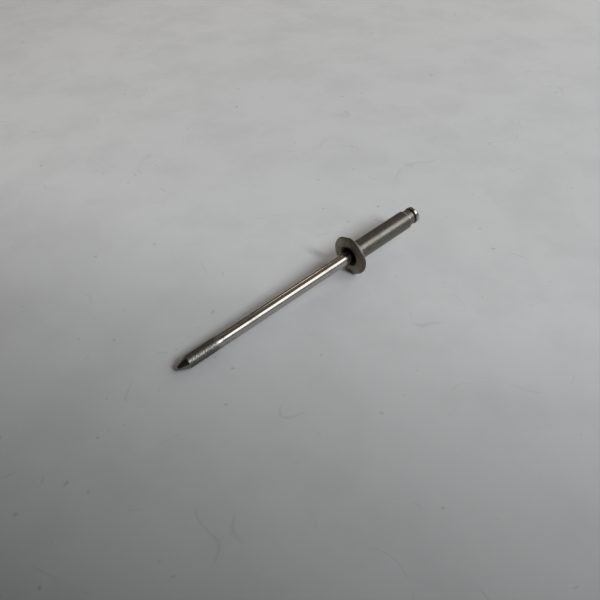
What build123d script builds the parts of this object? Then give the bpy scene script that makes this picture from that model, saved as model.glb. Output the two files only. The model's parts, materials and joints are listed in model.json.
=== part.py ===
from build123d import *
import os
from math import asin, atan2, degrees, radians, sin, tan

# Open-end blind rivet before it is set, lying on its flange rim and on the
# tail of its mandrel. All sizes are millimetres.
# Each piece is a turned profile. Its section is drawn as (x, r) points, with
# x along the rivet and x = 0 at the underside of the flange, +x to the blind end.

# Rivet body: a hollow shank with a flange
body_diameter = 3.2
body_length = 12.8
bore_clearance = 0.06
bore_edge_chamfer = 0.05
blind_end_round = 0.24
underside_fillet = 0.12

# Flange: a thin rim, a low crown and a sunk mouth around the mandrel
flange_diameter = 6.7
rim_thickness = 0.40
rim_front_round = 0.15
rim_back_round = 0.06
crown_rise = 0.20
crown_shoulder_width = 0.85
mouth_diameter = 3.4
mouth_edge_round = 0.22
mouth_depth = 0.62
mouth_floor_width = 0.16
mouth_wall_round = 0.18
grip_land_length = 0.55
grip_land_clearance = 0.004

# Small flat knocked into the flange rim
rim_flat_depth = 0.20
rim_flat_angle = 69.0

# Mandrel: a straight drawn wire with a pointed tail
mandrel_diameter = 2.0
tail_reach = 33.4
point_length = 1.6
point_end_diameter = 0.7
point_end_round = 0.14
point_shoulder_round = 0.5

# Break neck in the mandrel, hidden in the body near the blind end
neck_diameter = 1.46
neck_width = 0.30
neck_slope_length = 0.32
neck_to_head = 1.9

# Mandrel head, seated on the end of the body
head_diameter = 2.88
head_length = 2.66
head_seat_width = 0.16
head_cone_length = 0.22
head_collar_diameter = 2.66
head_collar_length = 1.10
head_groove_depth = 0.10
head_groove_width = 0.26
head_collar_round = 0.12
head_rim_length = 0.70
head_rim_round = 0.45
head_crown_round = 0.50
head_end_diameter = 1.70

body_radius = body_diameter / 2
flange_radius = flange_diameter / 2
mandrel_radius = mandrel_diameter / 2
bore_radius = mandrel_radius + bore_clearance
land_radius = mandrel_radius + grip_land_clearance
mouth_radius = mouth_diameter / 2
head_radius = head_diameter / 2
collar_radius = head_collar_diameter / 2


def corner_round(corners, i):
    """Start, middle, end and centre of the rounding at one corner of a section."""
    x, r, radius = corners[i]
    before_x, before_r, _ = corners[i - 1]
    after_x, after_r, _ = corners[(i + 1) % len(corners)]
    here = Vector(x, r)
    back = (Vector(before_x, before_r) - here).normalized()
    ahead = (Vector(after_x, after_r) - here).normalized()
    half_turn = radians(back.get_angle(ahead)) / 2
    reach = radius / tan(half_turn)
    inward = (back + ahead).normalized()
    centre = here + inward * (radius / sin(half_turn))
    return here + back * reach, centre - inward * radius, here + ahead * reach, centre


def rounded_section(corners):
    """Closed section through (x, r, round radius) corners."""
    edges = []
    for i in range(len(corners)):
        start, middle, end, _ = corner_round(corners, i)
        next_start = corner_round(corners, (i + 1) % len(corners))[0]
        if corners[i][2] > 0:
            edges.append(ThreePointArc(start, middle, end))
        edges.append(Line(end, next_start))
    return make_face(edges)


def turned(corners):
    """Solid of a section turned about the rivet's axis."""
    return revolve(rounded_section(corners), Axis.X)


# Section of the rivet body, from the bore's blind end round to the mouth
rim_front = -rim_thickness
crown_front = rim_front - crown_rise
mouth_floor = crown_front + mouth_depth
shoulder_radius = mouth_radius + crown_shoulder_width
rim_corner = (rim_front, flange_radius, rim_front_round)
body_section = [
    (body_length, bore_radius + bore_edge_chamfer, 0),
    (body_length, body_radius, blind_end_round),
    (0, body_radius, underside_fillet),
    (0, flange_radius, rim_back_round),
    rim_corner,
    (crown_front, shoulder_radius, 2 * crown_shoulder_width),
    (crown_front, mouth_radius, mouth_edge_round),
    (mouth_floor, land_radius + mouth_floor_width, mouth_wall_round),
    (mouth_floor + mouth_floor_width / 2, land_radius, 0),
    (mouth_floor + grip_land_length, land_radius, 0),
    (mouth_floor + grip_land_length + bore_clearance, bore_radius, 0),
    (body_length - bore_edge_chamfer, bore_radius, 0),
]
rivet_body = turned(body_section)

# The flat on the rim, square to the radius at its own angle from +Y towards +Z
flat_block = Pos(-rim_thickness, flange_radius - rim_flat_depth + flange_radius / 2, 0)
flat_block *= Box(4 * rim_thickness, flange_radius, flange_diameter)
rivet_body -= Rot(rim_flat_angle, 0, 0) * flat_block

# Section of the mandrel, from the point up to the middle of its head
point_tip = rim_front - tail_reach
point_shoulder = point_tip + point_length
neck_start = body_length - neck_to_head
neck_end = neck_start + neck_width
seat_radius = bore_radius + bore_edge_chamfer + head_seat_width
collar_end = body_length + head_collar_length
groove_radius = collar_radius - head_groove_depth
groove_end = collar_end + head_groove_width
head_end = body_length + head_length
shoulder_corner = (point_shoulder, mandrel_radius, point_shoulder_round)
mandrel_section = [
    (point_tip, 0, 0),
    (point_tip, point_end_diameter / 2, point_end_round),
    shoulder_corner,
    (neck_start - neck_slope_length, mandrel_radius, 0),
    (neck_start, neck_diameter / 2, 0),
    (neck_end, neck_diameter / 2, 0),
    (neck_end + neck_slope_length, mandrel_radius, 0),
    (body_length, mandrel_radius, 0),
    (body_length, seat_radius, 0),
    (body_length + head_cone_length, collar_radius, head_collar_round),
    (collar_end, collar_radius, head_collar_round),
    (collar_end + head_groove_depth, groove_radius, 0),
    (groove_end, groove_radius, 0),
    (groove_end + head_groove_depth, head_radius, head_groove_depth),
    (groove_end + head_rim_length, head_radius, head_rim_round),
    (head_end, head_end_diameter / 2, head_crown_round),
    (head_end, 0, 0),
]
mandrel = turned(mandrel_section)

# Resting attitude: the front rounding of the rim and the rounding at the point's
# shoulder both touch the ground, so the tail hangs down by the tilt angle.
rim_contact = corner_round(body_section, body_section.index(rim_corner))[3]
tail_contact = corner_round(mandrel_section, mandrel_section.index(shoulder_corner))[3]
rest = rim_contact - tail_contact
rest_offset = rim_front_round - point_shoulder_round
tilt = atan2(rest.Y, rest.X) + asin(rest_offset / rest.length)
lying = Rot(0, -degrees(tilt), 0)

pieces = {"rivet_body": lying * rivet_body, "mandrel": lying * mandrel}

# Origin: middle of the outline seen from above, at the ground
outline = Compound(list(pieces.values())).bounding_box()
to_ground = Pos(-outline.center().X, -outline.center().Y, -outline.min.Z)

os.makedirs("parts", exist_ok=True)
for name, piece in pieces.items():
    export_step(to_ground * piece, f"parts/{name}.step")
    print(name, round(piece.volume, 3), "mm3")
print("tilt", round(degrees(tilt), 3), "degrees")
print("shift", to_ground.position)
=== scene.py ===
import json
import math

import bmesh
import bpy
from bpy.props import FloatProperty, FloatVectorProperty, IntProperty, PointerProperty
from bpy.types import Operator, Panel, PropertyGroup
from mathutils import Matrix, Vector


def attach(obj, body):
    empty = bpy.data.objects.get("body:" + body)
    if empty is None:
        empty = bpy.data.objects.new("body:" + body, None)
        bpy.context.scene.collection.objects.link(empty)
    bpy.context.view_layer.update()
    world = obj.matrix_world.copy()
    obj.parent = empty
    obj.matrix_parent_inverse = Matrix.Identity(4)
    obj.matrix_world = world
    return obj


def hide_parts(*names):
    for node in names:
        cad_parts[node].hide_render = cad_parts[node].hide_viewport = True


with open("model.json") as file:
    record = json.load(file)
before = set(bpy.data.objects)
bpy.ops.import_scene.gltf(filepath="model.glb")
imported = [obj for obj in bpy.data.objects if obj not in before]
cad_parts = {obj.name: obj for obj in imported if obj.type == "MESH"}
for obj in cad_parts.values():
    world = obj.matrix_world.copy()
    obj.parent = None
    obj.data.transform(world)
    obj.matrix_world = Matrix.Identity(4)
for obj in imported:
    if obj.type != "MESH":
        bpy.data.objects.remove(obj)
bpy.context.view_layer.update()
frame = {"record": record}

bl_info = {
    "name": "Blind Rivet",
    "version": (1, 0, 0),
    "blender": (4, 5, 0),
    "location": "View3D > Sidebar > Rivet",
    "description": "Builds an unset blind rivet: flanged body, pointed mandrel and its table",
    "category": "Object",
}

MM = 0.001

# Where the rivet lies: the middle of the flange's underside, and the way its axis points
SEAT = next(m for m in frame["record"]["mounts"] if m["name"] == "flange_seat")
AXIS_ORIGIN = Vector((SEAT["pos_m"][0], 0.0, SEAT["pos_m"][2]))
AXIS_TILT = math.atan2(SEAT["axis"][2], SEAT["axis"][0])


def length(name, description, default_mm):
    """A size property, kept in metres and written here in millimetres."""
    return FloatProperty(
        name=name, description=description, default=default_mm * MM, min=0.0, precision=5, unit="LENGTH"
    )


def colour(name, description, default):
    """A colour property."""
    return FloatVectorProperty(
        name=name, description=description, default=default, min=0.0, max=1.0, subtype="COLOR"
    )


def share(name, description, default):
    """A property between 0 and 1."""
    return FloatProperty(
        name=name, description=description, default=default, min=0.0, max=1.0, subtype="FACTOR"
    )


def glow(name, description, default):
    """How bright a lamp's face looks."""
    return FloatProperty(name=name, description=description, default=default, min=0.0)


class RivetBodySizes(PropertyGroup):
    """Sizes of the flanged, hollow body."""

    body_diameter: length("Body diameter", "Outside diameter of the hollow shank", 3.2)
    body_length: length("Body length", "From the flange's underside to the blind end", 12.8)
    bore_diameter: length("Bore diameter", "Hole through the shank", 2.12)
    flange_diameter: length("Flange diameter", "Across the flange's rim", 6.7)
    rim_thickness: length("Rim thickness", "Thickness of the flange at its rim", 0.40)
    crown_rise: length("Crown rise", "How far the flange's face stands above its rim", 0.20)
    crown_shoulder: length("Crown shoulder", "Width of the flange's level face around the mouth", 0.85)
    mouth_diameter: length("Mouth diameter", "Across the sunk mouth in the flange's face", 3.4)
    mouth_depth: length("Mouth depth", "From the flange's face to the floor of the mouth", 0.62)
    land_diameter: length("Land diameter", "Hole through the staked lip that grips the mandrel", 2.008)
    land_length: length("Land length", "Length of the staked lip", 0.55)
    rim_flat_depth: length("Rim flat depth", "How deep the small flat knocked into the rim is", 0.20)
    rim_flat_angle: FloatProperty(
        name="Rim flat angle",
        description="Where the flat sits around the rim",
        default=math.radians(69.0),
        subtype="ANGLE",
    )
    dent_depth: length("Dent depth", "Deepest tumbling dent on the shank", 0.012)
    sides: IntProperty(name="Sides", description="Faces around the body", default=160, min=24, max=360)


class MandrelSizes(PropertyGroup):
    """Sizes of the drawn-wire mandrel and its head."""

    wire_diameter: length("Wire diameter", "Diameter of the drawn wire", 2.0)
    tail_reach: length("Tail reach", "From the flange's rim to the tip of the tail", 33.4)
    point_length: length("Point length", "Length of the tapered point", 1.6)
    point_end_diameter: length("Point end diameter", "Blunt end of the point", 0.7)
    neck_diameter: length("Neck diameter", "Break neck inside the shank", 1.46)
    neck_to_head: length("Neck to head", "From the break neck to the head", 1.9)
    head_diameter: length("Head diameter", "Across the head's rim", 2.88)
    head_length: length("Head length", "How far the head stands out of the blind end", 2.66)
    collar_diameter: length("Collar diameter", "Plain band of the head beside the body", 2.66)
    collar_length: length("Collar length", "From the blind end to the groove in the head", 1.10)
    groove_depth: length("Groove depth", "Groove between the head's collar and rim", 0.10)
    groove_width: length("Groove width", "Width of the groove, measured along the head", 0.26)
    rim_length: length("Rim length", "From the groove to the rounded shoulder of the head", 0.70)
    crown_diameter: length("Crown diameter", "Level end of the head, before its edge is rounded", 1.70)
    scuff_depth: length("Scuff depth", "Deepest mark on the gripped tail", 0.008)
    sides: IntProperty(name="Sides", description="Faces around the wire", default=128, min=24, max=360)


class RivetFinish(PropertyGroup):
    """Colours and polish of the steel."""

    shank_light: colour("Shank light", "Tumbled steel where it is clean", (0.200, 0.195, 0.183))
    shank_dark: colour("Shank dark", "Tumbled steel where it is stained", (0.140, 0.134, 0.122))
    shank_tarnish: colour("Shank tarnish", "Yellowish patches of tumbled steel", (0.215, 0.190, 0.140))
    flange_light: colour("Flange light", "Dull flange face", (0.36, 0.312, 0.26))
    # Used for real stains on the flange, and for its painted shade on the face, in the mouth and on the
    # rim band
    flange_stain_and_shade: colour("Flange dark", "Stain on the flange face", (0.125, 0.104, 0.082))
    worn_edge: colour("Worn edge", "Bare steel on worn edges", (0.62, 0.59, 0.55))
    wire_light: colour("Wire light", "Polished drawn wire", (0.45, 0.44, 0.425))
    wire_dark: colour("Wire dark", "Draw lines in the wire", (0.36, 0.345, 0.32))
    tail_stain: colour("Tail stain", "Scuffed steel towards the tail", (0.045, 0.042, 0.037))
    # Also used, much darker, as painted shade in the head's groove
    point_stain_and_shade: colour("Point stain", "Dark cut steel of the point", (0.24, 0.23, 0.21))
    shank_roughness: share("Shank roughness", "Polish of the shank", 0.31)
    flange_roughness: share("Flange roughness", "Polish of the flange face", 0.52)
    wire_roughness: share("Wire roughness", "Polish of the wire", 0.15)
    tail_roughness: share("Tail roughness", "Polish of the scuffed tail", 0.48)
    point_roughness: share("Point roughness", "Polish of the cut point", 0.20)
    collar_roughness: share("Collar roughness", "Polish of the head's collar", 0.36)


class StageSettings(PropertyGroup):
    """Table, lamps and room."""

    table_colour: colour("Table colour", "Plain pale table", (0.655, 0.665, 0.690))
    key_colour: colour("Key colour", "Tint of the key lamp", (0.95, 0.99, 1.0))
    key_glow: glow("Key glow", "Brightness of the key lamp's face", 27.0)
    window_colour: colour("Window colour", "Tint of the wide soft lamp", (0.96, 0.99, 1.0))
    window_glow: glow("Window glow", "Brightness of the wide soft lamp's face", 2.15)
    side_colour: colour("Side colour", "Tint of the fill lamp at the far right", (1.0, 0.98, 0.95))
    side_glow: glow("Side glow", "Brightness of the fill lamp's face", 2.2)
    warm_colour: colour("Warm colour", "Tint of the small lamp behind", (1.0, 0.78, 0.50))
    warm_glow: glow("Warm glow", "Brightness of the small warm lamp's face", 2.4)
    room_colour: colour("Room colour", "Tint of the dim room", (1.0, 0.84, 0.66))
    room_light: share("Room light", "Brightness of the room overhead", 0.20)
    horizon_light: share("Horizon light", "Brightness of the room near the table", 0.34)


PROPERTY_GROUPS = {
    "rivet_body_sizes": RivetBodySizes,
    "rivet_mandrel_sizes": MandrelSizes,
    "rivet_finish": RivetFinish,
    "rivet_stage": StageSettings,
}


# Roundings, edges and steps of the body's section
BORE_EDGE = 0.05 * MM
BLIND_END_ROUND = 0.24 * MM
UNDERSIDE_FILLET = 0.12 * MM
RIM_BACK_ROUND = 0.06 * MM
RIM_FRONT_ROUND = 0.15 * MM
MOUTH_EDGE_ROUND = 0.22 * MM
MOUTH_WALL_ROUND = 0.18 * MM
MOUTH_FLOOR_WIDTH = 0.16 * MM
LAND_SLOPE = 0.06 * MM

# Roundings, edges and steps of the mandrel's section
POINT_END_ROUND = 0.14 * MM
POINT_SHOULDER_ROUND = 0.50 * MM
NECK_WIDTH = 0.30 * MM
NECK_SLOPE = 0.32 * MM
HEAD_SEAT_WIDTH = 0.16 * MM
HEAD_CONE_LENGTH = 0.22 * MM
COLLAR_ROUND = 0.12 * MM
HEAD_RIM_ROUND = 0.45 * MM
HEAD_CROWN_ROUND = 0.50 * MM

# How many pieces each rounding of a section has
ROUND_PIECES = 7

# About how far apart the points of a section's straight runs are
SHANK_STEP = 0.085 * MM
FLANGE_STEP = 0.10 * MM
BORE_STEP = 1.0 * MM
POINT_STEP = 0.085 * MM
WIRE_STEP = 0.40 * MM
HIDDEN_WIRE_STEP = 1.5 * MM
HEAD_STEP = 0.06 * MM

# Length of the very short pieces that each run starts and ends with
RUN_MARGIN = 0.02 * MM

# Pressed marks: how closely they lie along and across the rivet, and how softly they end
DENT_SCALE = (1900.0, 1900.0, 1900.0)
SCUFF_SCALE = (1500.0, 2600.0, 2600.0)
MARK_FADE = 0.6 * MM

# Dents keep this far from the flange's underside and from the blind end
DENT_GAPS = (0.3 * MM, 0.1 * MM)

# The tail is scuffed from its point up to here, measured from the flange's underside
SCUFF_END = -25.0 * MM

# A flat this far from the axis cuts nothing, in metres
NO_FLAT = 1.0

# Points nearer than this are one point, and edges sharper than this stay sharp
SAME_POINT = 1e-7
CREASE_ANGLE = math.radians(28)


# Node writing


class Wire:
    """A node output that can be used in arithmetic; each step adds a Math node."""

    def __init__(self, bench, socket):
        self.bench = bench
        self.socket = socket

    def math(self, operation, *others):
        inputs = dict(enumerate((self, *others)))
        return self.bench.out("ShaderNodeMath", 0, {"operation": operation}, inputs)

    def __add__(self, other):
        return self.math("ADD", other)

    __radd__ = __add__

    def __mul__(self, other):
        return self.math("MULTIPLY", other)

    __rmul__ = __mul__

    def __sub__(self, other):
        return self.math("SUBTRACT", other)

    def __rsub__(self, other):
        return (self * -1.0) + other

    def __truediv__(self, other):
        return self.math("DIVIDE", other)

    def __neg__(self):
        return self * -1.0


class Bench:
    """Adds nodes to one tree: a node's type, then its settings, then its inputs."""

    def __init__(self, tree):
        self.tree = tree

    def add(self, kind, settings=None, inputs=None):
        node = self.tree.nodes.new(kind)
        for name, value in (settings or {}).items():
            setattr(node, name, value)
        for key, value in (inputs or {}).items():
            self.feed(node.inputs[key], value)
        return node

    def feed(self, socket, value):
        if isinstance(value, Wire):
            value = value.socket
        if isinstance(value, bpy.types.NodeSocket):
            self.tree.links.new(value, socket)
        elif socket.type == "RGBA" and len(value) == 3:
            socket.default_value = (*value, 1.0)
        else:
            socket.default_value = value

    def out(self, kind, output, settings=None, inputs=None):
        return Wire(self, self.add(kind, settings, inputs).outputs[output])

    def combine(self, x, y, z):
        return self.out("ShaderNodeCombineXYZ", 0, None, {0: x, 1: y, 2: z})

    def split(self, vector):
        node = self.add("ShaderNodeSeparateXYZ", None, {0: vector})
        return [Wire(self, node.outputs[i]) for i in range(3)]

    def step(self, value, low, high):
        """0 below low and 1 above high, smooth between them; low may be the larger."""
        return self.out(
            "ShaderNodeMapRange",
            0,
            {"interpolation_type": "SMOOTHSTEP"},
            {"Value": value, "From Min": low, "From Max": high},
        )

    def noise(self, vector, scale, detail, roughness):
        return self.out(
            "ShaderNodeTexNoise",
            0,
            {"noise_dimensions": "3D"},
            {"Vector": vector, "Scale": scale, "Detail": detail, "Roughness": roughness},
        )

    def blend(self, amount, first, second):
        """Colour between two colours."""
        return self.out("ShaderNodeMix", 2, {"data_type": "RGBA"}, {0: amount, 6: first, 7: second})


# Turned pieces


def corner_round(corners, i):
    """Points along the rounding at one corner of a section."""
    x, r, radius = corners[i]
    here = Vector((x, r))
    if radius == 0:
        return [here]
    back = (Vector(corners[i - 1][:2]) - here).normalized()
    ahead = (Vector(corners[(i + 1) % len(corners)][:2]) - here).normalized()
    half_turn = back.angle(ahead) / 2
    centre = here + (back + ahead).normalized() * (radius / math.sin(half_turn))
    start = here + back * (radius / math.tan(half_turn)) - centre
    end = here + ahead * (radius / math.tan(half_turn)) - centre
    swing = start.angle_signed(end)
    points = []
    for k in range(ROUND_PIECES + 1):
        turn = -swing * k / ROUND_PIECES
        points.append(centre + Matrix.Rotation(turn, 2) @ start)
    return points


def section_line(corners, closed, spacing):
    """Points of a whole section: its roundings, and straight runs divided by spacing(x, r).

    Each run starts and ends with a very short piece, which keeps the shading of the
    roundings beside it from spreading over the run.
    """
    rounds = [corner_round(corners, i) for i in range(len(corners))]
    line = []
    count = len(corners)
    for i in range(count):
        line.extend(rounds[i])
        if i == count - 1 and not closed:
            break
        start, end = rounds[i][-1], rounds[(i + 1) % count][0]
        run = (end - start).length
        if run < SAME_POINT:
            continue
        middle = (start + end) / 2
        pieces = max(1, round(run / spacing(middle.x, middle.y)))
        margin = min(RUN_MARGIN / run, 0.25 / pieces)
        shares = [margin] + [k / pieces for k in range(1, pieces)] + [1 - margin]
        line.extend(start.lerp(end, s) for s in shares)
    if closed:
        line.append(line[0].copy())
    return line


def turning_tree():
    """Geometry nodes that turn a section about the rivet's axis and lay the piece down."""
    tree = bpy.data.node_groups.new("turned_piece", "GeometryNodeTree")
    sockets = (
        ("Section", "INPUT", "NodeSocketGeometry"),
        ("Sides", "INPUT", "NodeSocketInt"),
        ("Flat Angle", "INPUT", "NodeSocketFloat"),
        ("Flat Distance", "INPUT", "NodeSocketFloat"),
        ("Mark Depth", "INPUT", "NodeSocketFloat"),
        ("Mark Scale", "INPUT", "NodeSocketVector"),
        ("Mark Start", "INPUT", "NodeSocketFloat"),
        ("Mark End", "INPUT", "NodeSocketFloat"),
        ("Place", "INPUT", "NodeSocketVector"),
        ("Turn", "INPUT", "NodeSocketVector"),
        ("Material", "INPUT", "NodeSocketMaterial"),
        ("Piece", "OUTPUT", "NodeSocketGeometry"),
    )
    for name, way, kind in sockets:
        tree.interface.new_socket(name=name, in_out=way, socket_type=kind)
    bench = Bench(tree)
    given = bench.add("NodeGroupInput")
    of = {name: Wire(bench, given.outputs[name]) for name, way, _ in sockets if way == "INPUT"}

    # A grid with one row for each section point, wrapped into rings
    count = bench.out(
        "GeometryNodeAttributeDomainSize",
        "Point Count",
        {"component": "MESH"},
        {"Geometry": of["Section"]},
    )
    ring = of["Sides"] + 1
    grid = bench.out(
        "GeometryNodeMeshGrid",
        "Mesh",
        None,
        {"Size X": 1.0, "Size Y": 1.0, "Vertices X": count, "Vertices Y": ring},
    )
    index = bench.out("GeometryNodeInputIndex", 0)
    # A little is added, so that no row's first point falls in the row before it
    row = (index / ring + 1e-5).math("FLOOR")
    side = index - row * ring
    point = bench.out(
        "GeometryNodeSampleIndex",
        "Value",
        {"data_type": "FLOAT_VECTOR", "domain": "POINT"},
        {"Geometry": of["Section"], "Value": bench.out("GeometryNodeInputPosition", 0), "Index": row},
    )
    along, radius, _ = bench.split(point)
    angle = side * (2 * math.pi) / of["Sides"]
    wrapped = bench.combine(along, radius * angle.math("COSINE"), radius * angle.math("SINE"))
    turned = bench.out("GeometryNodeSetPosition", 0, None, {"Geometry": grid, "Position": wrapped})
    closed = bench.out(
        "GeometryNodeMergeByDistance", 0, None, {"Geometry": turned, "Distance": SAME_POINT}
    )

    # Shallow marks, pressed inwards between two places along the axis
    here = bench.out("GeometryNodeInputPosition", 0)
    x, y, z = bench.split(here)
    zone = bench.step(x, of["Mark Start"], of["Mark Start"] + MARK_FADE)
    zone = zone * bench.step(x, of["Mark End"], of["Mark End"] - MARK_FADE)
    stretched = bench.out(
        "ShaderNodeVectorMath", 0, {"operation": "MULTIPLY"}, {0: here, 1: of["Mark Scale"]}
    )
    marks = bench.step(bench.noise(stretched, 1.0, 3.0, 0.55), 0.56, 0.78)
    depth = marks * zone * of["Mark Depth"]
    radial = bench.out(
        "ShaderNodeVectorMath", 0, {"operation": "NORMALIZE"}, {0: bench.combine(0.0, y, z)}
    )
    inwards = bench.add("ShaderNodeVectorMath", {"operation": "SCALE"}, {0: radial, "Scale": -depth})
    marked = bench.out(
        "GeometryNodeSetPosition", 0, None, {"Geometry": closed, "Offset": inwards.outputs[0]}
    )

    # The flat: whatever stands past it is pushed back to its plane
    flat_y, flat_z = of["Flat Angle"].math("COSINE"), of["Flat Angle"].math("SINE")
    past = (y * flat_y + z * flat_z - of["Flat Distance"]).math("MAXIMUM", 0.0)
    flattened = bench.out(
        "GeometryNodeSetPosition",
        0,
        None,
        {"Geometry": marked, "Offset": bench.combine(0.0, -(past * flat_y), -(past * flat_z))},
    )

    laid = bench.out(
        "GeometryNodeTransform",
        0,
        None,
        {"Geometry": flattened, "Translation": of["Place"], "Rotation": of["Turn"]},
    )
    smooth = bench.out("GeometryNodeSetShadeSmooth", 0, {"domain": "FACE"}, {"Geometry": laid})
    creases = bench.out(
        "FunctionNodeCompare",
        0,
        {"data_type": "FLOAT", "operation": "LESS_THAN"},
        {0: bench.out("GeometryNodeInputMeshEdgeAngle", "Unsigned Angle"), 1: CREASE_ANGLE},
    )
    edged = bench.out(
        "GeometryNodeSetShadeSmooth",
        0,
        {"domain": "EDGE"},
        {"Geometry": smooth, "Shade Smooth": creases},
    )
    real = bench.out("GeometryNodeRealizeInstances", 0, None, {"Geometry": edged})
    finished = bench.out(
        "GeometryNodeSetMaterial", 0, None, {"Geometry": real, "Material": of["Material"]}
    )
    bench.add("NodeGroupOutput", None, {"Piece": finished})
    return tree


def turn_piece(name, line, inputs):
    """Plain mesh object of a section turned by the geometry nodes."""
    section = bpy.data.meshes.new(name + "_section")
    runs = [(i, i + 1) for i in range(len(line) - 1)]
    section.from_pydata([(p.x, p.y, 0.0) for p in line], runs, [])
    piece = bpy.data.objects.new(name, section)
    bpy.context.scene.collection.objects.link(piece)
    tree = bpy.data.node_groups.get("turned_piece") or turning_tree()
    modifier = piece.modifiers.new("turned_piece", "NODES")
    modifier.node_group = tree
    named = {s.name: s.identifier for s in tree.interface.items_tree if s.in_out == "INPUT"}
    for key, value in inputs.items():
        modifier[named[key]] = value
    bpy.context.view_layer.update()
    evaluated = piece.evaluated_get(bpy.context.evaluated_depsgraph_get())
    mesh = bpy.data.meshes.new_from_object(evaluated)
    piece.modifiers.clear()
    piece.data = mesh
    mesh.name = name
    bpy.data.meshes.remove(section)

    # Faces point outwards
    shell = bmesh.new()
    shell.from_mesh(mesh)
    bmesh.ops.recalc_face_normals(shell, faces=shell.faces)
    shell.to_mesh(mesh)
    shell.free()
    return piece


def resting_inputs(material):
    """Where every turned piece lies and what covers it."""
    return {
        "Place": tuple(AXIS_ORIGIN),
        "Turn": (0.0, -AXIS_TILT, 0.0),
        "Material": material,
    }


# Places on the stage

# The camera stands above and beside the tail and looks down across the rivet; its angles are
# in degrees, its lens and sensor in millimetres
CAMERA_PLACE = AXIS_ORIGIN + Vector((-61.228, -56.977, 63.594)) * MM
CAMERA_AZIMUTH = -41.35
CAMERA_ELEVATION = 41.34
CAMERA_ROLL = -0.48
CAMERA_LENS = 38.9
SENSOR_WIDTH = 36.0

# The table reaches far past the picture's edges, in metres
TABLE_WIDTH = 6.0

# Every lamp faces this place, a little above the table
LAMP_AIM = Vector((0.0, 0.0, 2.0 * MM))

# Lamps: name, azimuth and elevation seen from the rivet, distance, width, height and roll,
# in degrees and metres
LAMPS = (
    ("key", (46.0, 39.0), 0.6, 0.13, 0.17, 0.0),
    ("window", (84.2, 42.4), 0.6, 0.41, 0.36, -7.7),
    ("side", (142.0, 24.0), 0.6, 0.34, 0.24, 0.0),
    ("warm", (188.4, 42.4), 0.4, 0.052, 0.055, 0.0),
)

# Dim parts of the room, by the azimuth and elevation of their middle
NEAR_SIDE = (-20.0, 36.0)
FAR_WALL = (197.0, 12.0)


def direction(azimuth, elevation):
    """Unit vector from the rivet; azimuth in degrees from the camera's side towards its right."""
    turn = math.radians(CAMERA_AZIMUTH + azimuth)
    rise = math.radians(elevation)
    return Vector((math.sin(turn) * math.cos(rise), -math.cos(turn) * math.cos(rise), math.sin(rise)))


# Materials


def steel(name):
    """New steel material: its bench, its shader and the rivet's own coordinates in millimetres."""
    material = bpy.data.materials.new(name)
    material.use_nodes = True
    material.node_tree.nodes.clear()
    bench = Bench(material.node_tree)
    place = bench.add("ShaderNodeTexCoord")
    local = bench.out(
        "ShaderNodeMapping",
        0,
        {"vector_type": "TEXTURE"},
        {
            "Vector": place.outputs["Object"],
            "Location": tuple(AXIS_ORIGIN),
            "Rotation": (0.0, -AXIS_TILT, 0.0),
            "Scale": (MM, MM, MM),
        },
    )
    shader = bench.add("ShaderNodeBsdfPrincipled")
    shader.inputs["Metallic"].default_value = 1.0
    bench.add("ShaderNodeOutputMaterial", None, {"Surface": shader.outputs[0]})
    return material, bench, shader, local


def streaks(bench, local, along, across, detail, roughness):
    """Noise with one scale along the rivet and another across it."""
    x, y, z = bench.split(local)
    return bench.noise(bench.combine(x * along, y * across, z * across), 1.0, detail, roughness)


def scaled(tint, brightness):
    """The same colour at another brightness."""
    return tuple(brightness * c for c in tint)


def relief(bench, shader, height, depth_mm):
    """Bump the surface by a height, as deep as given in millimetres."""
    inputs = {"Height": height, "Distance": depth_mm * MM, "Strength": 1.0}
    bench.feed(shader.inputs["Normal"], bench.out("ShaderNodeBump", 0, None, inputs))


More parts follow.
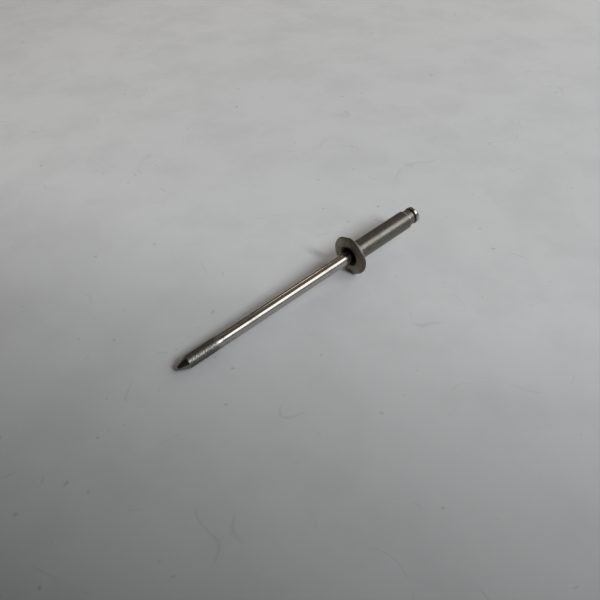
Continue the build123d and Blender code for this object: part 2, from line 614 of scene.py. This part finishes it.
def tumbled_steel(finish, size):
    """Satin, slightly stained steel of the body; dull and brown on the flange's face, with painted
    shade there.

    Lengths are in millimetres here, as the rivet's own coordinates are.
    """
    material, bench, shader, local = steel("tumbled_steel")
    x, y, z = bench.split(local)
    r = (y * y + z * z).math("SQRT")
    body_r = size.body_diameter / 2 / MM
    flange_r = size.flange_diameter / 2 / MM
    mouth_r = size.mouth_diameter / 2 / MM
    rim_face = -size.rim_thickness / MM
    blind_end = size.body_length / MM
    land_end = (size.mouth_depth + size.land_length - size.rim_thickness - size.crown_rise) / MM

    # Shank: stained, with rings from turning and a few yellowish patches
    cloud = bench.noise(local, 0.55, 4.0, 0.6)
    mottle = bench.noise(local, 5.5, 3.0, 0.65)
    grain = streaks(bench, local, 1.4, 9.0, 3.0, 0.6)
    rings = streaks(bench, local, 7.0, 0.8, 3.0, 0.7)
    stain = bench.step(cloud * 0.5 + mottle * 0.5, 0.38, 0.64)
    shank = bench.blend(stain, finish.shank_light, finish.shank_dark)
    shank = bench.blend(bench.step(grain, 0.52, 0.80) * 0.35, shank, finish.shank_dark)
    shank = bench.blend(bench.step(rings, 0.50, 0.72) * 0.45, shank, finish.shank_dark)
    tarnish = bench.step(streaks(bench, local, 0.5, 1.3, 3.0, 0.6), 0.50, 0.66)
    shank = bench.blend(tarnish * 0.5, shank, finish.shank_tarnish)

    # Flange: smeared and browner, with painted shade darkening its upper side, the mouth and the rim
    # band
    near_face = bench.step(x, land_end + 0.83, land_end + 0.33)
    inside = bench.step(r, body_r - 0.10, body_r - 0.20) * near_face
    face = bench.step(x, 0.02, -0.06).math("MAXIMUM", inside)
    smear = bench.step(bench.noise(local, 1.1, 4.0, 0.6), 0.35, 0.68)
    # Painted shade: the face darkens steadily across it, as light falls on it unevenly
    face_shade = bench.step(z * 0.6 - y * 0.8, -1.0, 2.8)
    flange = bench.blend(smear * 0.4 + face_shade * 0.6, finish.flange_light, finish.flange_stain_and_shade)
    spokes = bench.noise(bench.combine(r * 0.35, y / r * 7.0, z / r * 7.0), 1.0, 3.0, 0.65)
    flange = bench.blend(bench.step(spokes, 0.48, 0.72) * 0.55, flange, scaled(finish.flange_stain_and_shade, 0.6))
    # Painted shade: the sunk mouth is painted nearly black, as the deep gap around the wire lies in
    # shade
    mouth = bench.step(r, mouth_r + 0.35, mouth_r - 0.45) * near_face
    flange = bench.blend(mouth * 0.95, flange, scaled(finish.flange_stain_and_shade, 0.12))
    # Painted shade: a dark band around the rim, for the dark room it reflects
    rim_shade = bench.step(r, flange_r - 0.23, flange_r - 0.11)
    flange = bench.blend(rim_shade * 0.8, flange, scaled(finish.flange_stain_and_shade, 0.8))
    colour_now = bench.blend(face, shank, flange)

    # Edges worn bright
    rim_back = bench.step(r, flange_r - 0.13, flange_r - 0.05) * bench.step(x, -0.11, -0.05)
    rim_front = bench.step(r, flange_r - 0.21, flange_r - 0.09)
    rim_front = rim_front * bench.step(x, rim_face + 0.14, rim_face + 0.04) * 0.10
    blind_edge = bench.step(r, body_r - 0.24, body_r - 0.10)
    blind_edge = blind_edge * bench.step(x, blind_end - 0.28, blind_end - 0.14) * 0.5
    chips = bench.step(mottle, 0.36, 0.60)
    worn = ((rim_back + rim_front + blind_edge) * (chips * 0.6 + 0.4)).math("MINIMUM", 1.0)
    colour_now = bench.blend(worn, colour_now, finish.worn_edge)
    bench.feed(shader.inputs["Base Color"], colour_now)

    rough = face * (finish.flange_roughness - finish.shank_roughness) + finish.shank_roughness
    uneven = (mottle - 0.5) * 0.22 + (rings - 0.5) * 0.18
    rough = rough + uneven * (1.0 - face * 0.6) - worn * 0.12 + mouth * 0.35
    bench.feed(shader.inputs["Roughness"], rough.math("MAXIMUM", 0.12))

    pits = bench.step(bench.noise(local, 8.5, 2.0, 0.5), 0.60, 0.74)
    orange_peel = bench.noise(local, 3.0, 2.0, 0.5)
    turning_marks = (mottle * 0.5 + rings * 0.45) * (1.0 - face * 0.5)
    relief(bench, shader, orange_peel * 0.9 + turning_marks + grain * 0.2 - pits * 0.55, 0.014)
    return material


def drawn_wire(finish, size, body):
    """Bright drawn steel of the mandrel, scuffed on the tail and dark on the point, with painted shade
    in the head's groove.

    Lengths are in millimetres here, as the rivet's own coordinates are.
    """
    material, bench, shader, local = steel("drawn_wire")
    x = bench.split(local)[0]
    scuff_end = SCUFF_END / MM
    shoulder = (size.point_length - size.tail_reach - body.rim_thickness) / MM
    seat = body.body_length / MM
    groove = seat + size.collar_length / MM
    groove_end = groove + size.groove_width / MM

    # Wire with lines along it from drawing, and a little rust
    lines = streaks(bench, local, 0.10, 7.0, 4.0, 0.65)
    fine = streaks(bench, local, 0.35, 22.0, 2.0, 0.6)
    patches = bench.noise(local, 0.45, 4.0, 0.6)
    speckle = bench.noise(local, 6.0, 3.0, 0.7)
    wire = bench.blend(bench.step(lines, 0.45, 0.75), finish.wire_light, finish.wire_dark)
    rust = bench.step(patches, 0.56, 0.70) * 0.30

    # Scuffed tail, cut point, and the head with its dull collar and painted shade in its groove
    tail = bench.step(x + patches * 3.0, scuff_end + 0.7, scuff_end - 1.6)
    scuffs = bench.step(speckle, 0.38, 0.62)
    wire = bench.blend(tail * (scuffs * 0.35 + 0.6), wire, finish.tail_stain)
    point = bench.step(x, shoulder + 0.05, shoulder - 0.08)
    wire = bench.blend(point * (scuffs * 0.25 + 0.75), wire, finish.point_stain_and_shade)
    wire = bench.blend(rust, wire, finish.tail_stain)
    collar = bench.step(x, seat - 0.05, seat + 0.02) * bench.step(x, groove + 0.22, groove + 0.12)
    wire = bench.blend(collar * 0.62, wire, finish.tail_stain)
    # Painted shade: the groove between collar and rim is painted nearly black
    neck = bench.step(x, groove - 0.10, groove) * bench.step(x, groove_end + 0.14, groove_end + 0.06)
    wire = bench.blend(neck * 0.9, wire, scaled(finish.point_stain_and_shade, 0.15))
    bench.feed(shader.inputs["Base Color"], wire)

    rough = tail * (finish.tail_roughness - finish.wire_roughness) + finish.wire_roughness
    rough = rough - point * (finish.tail_roughness - finish.point_roughness)
    rough = rough + collar * (finish.collar_roughness - finish.wire_roughness)
    rough = rough + (lines - 0.5) * 0.10 + (speckle - 0.5) * ((tail - point) * 0.35 + 0.05)
    bench.feed(shader.inputs["Roughness"], rough.math("MAXIMUM", 0.06))

    dings = bench.step(speckle, 0.50, 0.72) * (tail * 0.65 + 0.02)
    relief(bench, shader, lines * 0.35 + fine * 0.10 - dings * 0.9, 0.010)
    return material


def plain_table(settings):
    """Matt, pale table top with painted shade that darkens it towards the near left, a little worn and
    dusty.
    """
    material = bpy.data.materials.new("pale_table")
    material.use_nodes = True
    material.node_tree.nodes.clear()
    bench = Bench(material.node_tree)
    place = bench.out("ShaderNodeTexCoord", "Object")
    x, y, _ = bench.split(place)

    # Painted shade: two slopes of brightness across the table, each with a brightest level, in place of
    # uneven light
    right, ahead = direction(90.0, 0.0), direction(180.0, 0.0)
    slope = (right * 0.45 + ahead) * 10.5
    shade = (x * slope.x + y * slope.y + 0.938).math("SMOOTH_MIN", 1.02, 0.15)
    side_slope = ahead * 1.2 - right * 2.2
    side_shade = (x * side_slope.x + y * side_slope.y + 1.06).math("MINIMUM", 1.32)
    shade = (shade * side_shade).math("MAXIMUM", 0.25)

    # Cloudy wear, dust specks and hair scratches
    wear = bench.step(bench.noise(place, 60.0, 5.0, 0.62), 0.40, 0.66)
    specks = bench.step(bench.noise(place, 620.0, 1.0, 0.4), 0.745, 0.80)
    hair = (bench.noise(place, 60.0, 1.0, 0.4) - 0.5).math("ABSOLUTE")
    stretches = bench.step(bench.noise(place, 150.0, 1.0, 0.5), 0.56, 0.62)
    scratches = bench.step(hair, 0.005, 0.0) * stretches
    level = shade * (1.0 - wear * 0.065) * (1.0 - specks * 0.20) * (1.0 - scratches * 0.10)
    top = bench.out(
        "ShaderNodeVectorMath",
        0,
        {"operation": "SCALE"},
        {0: tuple(settings.table_colour), "Scale": level},
    )
    shader = bench.add("ShaderNodeBsdfPrincipled")
    shader.inputs["Roughness"].default_value = 0.62
    shader.inputs["Specular IOR Level"].default_value = 0.20
    bench.feed(shader.inputs["Base Color"], top)
    bench.add("ShaderNodeOutputMaterial", None, {"Surface": shader.outputs[0]})
    return material


# Operators


class RIVET_OT_make_body(Operator):
    """Build the flanged body, with its bore, sunk mouth and knocked rim"""

    bl_idname = "rivet.make_body"
    bl_label = "Make Body"

    def execute(self, context):
        size = context.scene.rivet_body_sizes
        body_r = size.body_diameter / 2
        flange_r = size.flange_diameter / 2
        bore_r = size.bore_diameter / 2
        land_r = size.land_diameter / 2
        mouth_r = size.mouth_diameter / 2
        face = -size.rim_thickness - size.crown_rise
        floor = face + size.mouth_depth
        land_end = floor + size.land_length
        corners = [
            (size.body_length, bore_r + BORE_EDGE, 0),
            (size.body_length, body_r, BLIND_END_ROUND),
            (0.0, body_r, UNDERSIDE_FILLET),
            (0.0, flange_r, RIM_BACK_ROUND),
            (-size.rim_thickness, flange_r, RIM_FRONT_ROUND),
            (face, mouth_r + size.crown_shoulder, 2 * size.crown_shoulder),
            (face, mouth_r, MOUTH_EDGE_ROUND),
            (floor, land_r + MOUTH_FLOOR_WIDTH, MOUTH_WALL_ROUND),
            (floor + MOUTH_FLOOR_WIDTH / 2, land_r, 0),
            (land_end, land_r, 0),
            (land_end + LAND_SLOPE, bore_r, 0),
            (size.body_length - BORE_EDGE, bore_r, 0),
        ]

        def spacing(x, r):
            if x > size.rim_thickness and r > (bore_r + body_r) / 2:
                return SHANK_STEP
            return BORE_STEP if r < bore_r + SAME_POINT else FLANGE_STEP

        inputs = resting_inputs(tumbled_steel(context.scene.rivet_finish, size))
        inputs.update(
            {
                "Sides": size.sides,
                "Flat Angle": size.rim_flat_angle,
                "Flat Distance": flange_r - size.rim_flat_depth,
                "Mark Depth": size.dent_depth,
                "Mark Scale": DENT_SCALE,
                "Mark Start": DENT_GAPS[0],
                "Mark End": size.body_length - DENT_GAPS[1],
            }
        )
        piece = turn_piece("body_shell", section_line(corners, True, spacing), inputs)
        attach(piece, "root")
        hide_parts("rivet_body")
        return {"FINISHED"}


class RIVET_OT_make_mandrel(Operator):
    """Build the mandrel, from its point through the shank to its head"""

    bl_idname = "rivet.make_mandrel"
    bl_label = "Make Mandrel"

    def execute(self, context):
        size = context.scene.rivet_mandrel_sizes
        body = context.scene.rivet_body_sizes
        wire_r = size.wire_diameter / 2
        head_r = size.head_diameter / 2
        collar_r = size.collar_diameter / 2
        tip = -body.rim_thickness - size.tail_reach
        seat = body.body_length
        seat_r = body.bore_diameter / 2 + BORE_EDGE + HEAD_SEAT_WIDTH
        neck = seat - size.neck_to_head
        neck_end = neck + NECK_WIDTH
        groove = seat + size.collar_length
        groove_end = groove + size.groove_width
        corners = [
            (tip, 0.0, 0),
            (tip, size.point_end_diameter / 2, POINT_END_ROUND),
            (tip + size.point_length, wire_r, POINT_SHOULDER_ROUND),
            (neck - NECK_SLOPE, wire_r, 0),
            (neck, size.neck_diameter / 2, 0),
            (neck_end, size.neck_diameter / 2, 0),
            (neck_end + NECK_SLOPE, wire_r, 0),
            (seat, wire_r, 0),
            (seat, seat_r, 0),
            (seat + HEAD_CONE_LENGTH, collar_r, COLLAR_ROUND),
            (groove, collar_r, COLLAR_ROUND),
            (groove + size.groove_depth, collar_r - size.groove_depth, 0),
            (groove_end, collar_r - size.groove_depth, 0),
            (groove_end + size.groove_depth, head_r, size.groove_depth),
            (groove_end + size.rim_length, head_r, HEAD_RIM_ROUND),
            (seat + size.head_length, size.crown_diameter / 2, HEAD_CROWN_ROUND),
            (seat + size.head_length, 0.0, 0),
        ]

        def spacing(x, r):
            if x < tip + size.point_length:
                return POINT_STEP
            if x < 0:
                return WIRE_STEP
            return HIDDEN_WIRE_STEP if x < seat - SAME_POINT else HEAD_STEP

        inputs = resting_inputs(drawn_wire(context.scene.rivet_finish, size, body))
        inputs.update(
            {
                "Sides": size.sides,
                "Flat Angle": 0.0,
                "Flat Distance": NO_FLAT,
                "Mark Depth": size.scuff_depth,
                "Mark Scale": SCUFF_SCALE,
                "Mark Start": tip + size.point_length,
                "Mark End": SCUFF_END,
            }
        )
        piece = turn_piece("mandrel_wire", section_line(corners, False, spacing), inputs)
        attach(piece, "root")
        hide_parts("mandrel")
        return {"FINISHED"}


def area_lamp(scene, name, towards, distance, width, height, roll, radiance):
    """Rectangular lamp facing the rivet, with the brightness its own face shows."""
    light = bpy.data.lights.new(name, "AREA")
    light.shape = "RECTANGLE"
    light.size = width
    light.size_y = height
    brightest = max(radiance)
    light.color = tuple(c / brightest for c in radiance)
    light.energy = brightest * math.pi * width * height
    lamp = bpy.data.objects.new(name, light)
    place = LAMP_AIM + towards * distance
    facing = towards.to_track_quat("Z", "Y").to_matrix().to_4x4()
    rolled = Matrix.Rotation(math.radians(roll), 4, "Z")
    lamp.matrix_world = Matrix.Translation(place) @ facing @ rolled
    scene.collection.objects.link(lamp)


class RIVET_OT_set_stage(Operator):
    """Lay the table, light it from one side and place the camera"""

    bl_idname = "rivet.set_stage"
    bl_label = "Set Stage"

    def execute(self, context):
        scene = context.scene
        settings = scene.rivet_stage
        self.table(scene, settings)
        self.room(scene, settings)
        for name, way, distance, width, height, roll in LAMPS:
            face = scaled(getattr(settings, name + "_colour"), getattr(settings, name + "_glow"))
            area_lamp(scene, name, direction(*way), distance, width, height, roll, face)
        self.camera(scene)
        scene.view_settings.view_transform = "Standard"
        return {"FINISHED"}

    def table(self, scene, settings):
        half = TABLE_WIDTH / 2
        mesh = bpy.data.meshes.new("table")
        corners = [(-half, -half, 0), (half, -half, 0), (half, half, 0), (-half, half, 0)]
        mesh.from_pydata(corners, [], [(0, 1, 2, 3)])
        mesh.materials.append(plain_table(settings))
        table = bpy.data.objects.new("table", mesh)
        scene.collection.objects.link(table)

    def room(self, scene, settings):
        world = bpy.data.worlds.new("room")
        world.use_nodes = True
        world.node_tree.nodes.clear()
        bench = Bench(world.node_tree)
        way = bench.out("ShaderNodeTexCoord", "Generated")
        up = bench.split(way)[2]
        low = scaled(settings.room_colour, settings.horizon_light)
        high = scaled(settings.room_colour, settings.room_light)
        dark = scaled(high, 0.12)
        shade = bench.blend(bench.step(up, 0.10, 0.75), low, high)

        # The side the camera stands on is dim, and so is the far wall, low down
        near_side = bench.step(self.nearness(bench, way, NEAR_SIDE), 0.05, 0.72)
        shade = bench.blend(near_side, shade, dark)
        far_wall = bench.step(self.nearness(bench, way, FAR_WALL), 0.80, 0.97)
        shade = bench.blend(far_wall * 0.7, shade, dark)
        backdrop = bench.add("ShaderNodeBackground", None, {"Color": shade, "Strength": 1.0})
        bench.add("ShaderNodeOutputWorld", None, {"Surface": backdrop.outputs[0]})
        scene.world = world

    def nearness(self, bench, way, middle):
        """1 straight towards that part of the room, 0 square to it."""
        inputs = {0: way, 1: direction(*middle)}
        return bench.out("ShaderNodeVectorMath", "Value", {"operation": "DOT_PRODUCT"}, inputs)

    def camera(self, scene):
        lens = bpy.data.cameras.new("camera")
        lens.sensor_width = SENSOR_WIDTH
        lens.lens = CAMERA_LENS
        lens.clip_start = 5.0 * MM
        camera = bpy.data.objects.new("camera", lens)
        turn = Matrix.Rotation(math.radians(CAMERA_AZIMUTH), 4, "Z")
        turn @= Matrix.Rotation(math.radians(90.0 - CAMERA_ELEVATION), 4, "X")
        turn @= Matrix.Rotation(math.radians(CAMERA_ROLL), 4, "Z")
        camera.matrix_world = Matrix.Translation(CAMERA_PLACE) @ turn
        scene.collection.objects.link(camera)
        scene.camera = camera


class RIVET_PT_panel(Panel):
    """Sizes, finish and stage of the rivet"""

    bl_idname = "RIVET_PT_panel"
    bl_label = "Blind Rivet"
    bl_space_type = "VIEW_3D"
    bl_region_type = "UI"
    bl_category = "Rivet"

    def draw(self, context):
        for operator in (RIVET_OT_make_body, RIVET_OT_make_mandrel, RIVET_OT_set_stage):
            self.layout.operator(operator.bl_idname)
        for name, group in PROPERTY_GROUPS.items():
            box = self.layout.box()
            box.label(text=group.__doc__)
            for key in group.__annotations__:
                box.prop(getattr(context.scene, name), key)


CLASSES = (
    *PROPERTY_GROUPS.values(),
    RIVET_OT_make_body,
    RIVET_OT_make_mandrel,
    RIVET_OT_set_stage,
    RIVET_PT_panel,
)


def register():
    for cls in CLASSES:
        bpy.utils.register_class(cls)
    for name, group in PROPERTY_GROUPS.items():
        setattr(bpy.types.Scene, name, PointerProperty(type=group))


def unregister():
    for name in PROPERTY_GROUPS:
        delattr(bpy.types.Scene, name)
    for cls in reversed(CLASSES):
        bpy.utils.unregister_class(cls)


def main():
    """Build everything in order."""
    register()
    bpy.ops.rivet.make_body()
    bpy.ops.rivet.make_mandrel()
    bpy.ops.rivet.set_stage()


if __name__ == "__main__":
    main()
